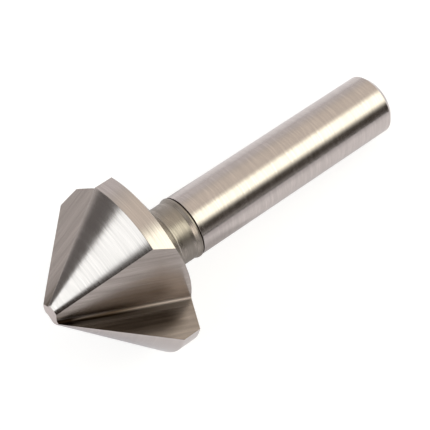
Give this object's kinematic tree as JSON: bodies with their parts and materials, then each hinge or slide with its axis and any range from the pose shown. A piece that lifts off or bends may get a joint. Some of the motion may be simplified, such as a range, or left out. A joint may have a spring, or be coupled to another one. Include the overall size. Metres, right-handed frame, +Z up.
{
  "type": "countersink bit",
  "caption": "Fluted cone cutter with a right angle point, a small flat tip and a plain round shank, for sinking screw heads and deburring holes.",
  "frame": {"origin": "middle of the box around the bit as it lies at rest, at bench height", "axes": "+X along the longest extent, from the tip towards the shank, +Z up from the bench"},
  "size_m": [0.064, 0.0294, 0.0276],
  "materials": {
    "ground_steel": "fine ground high speed steel, uncoated"
  },
  "bodies": {
    "root": {"countersink_bit": "ground_steel"}
  },
  "joints": []
}
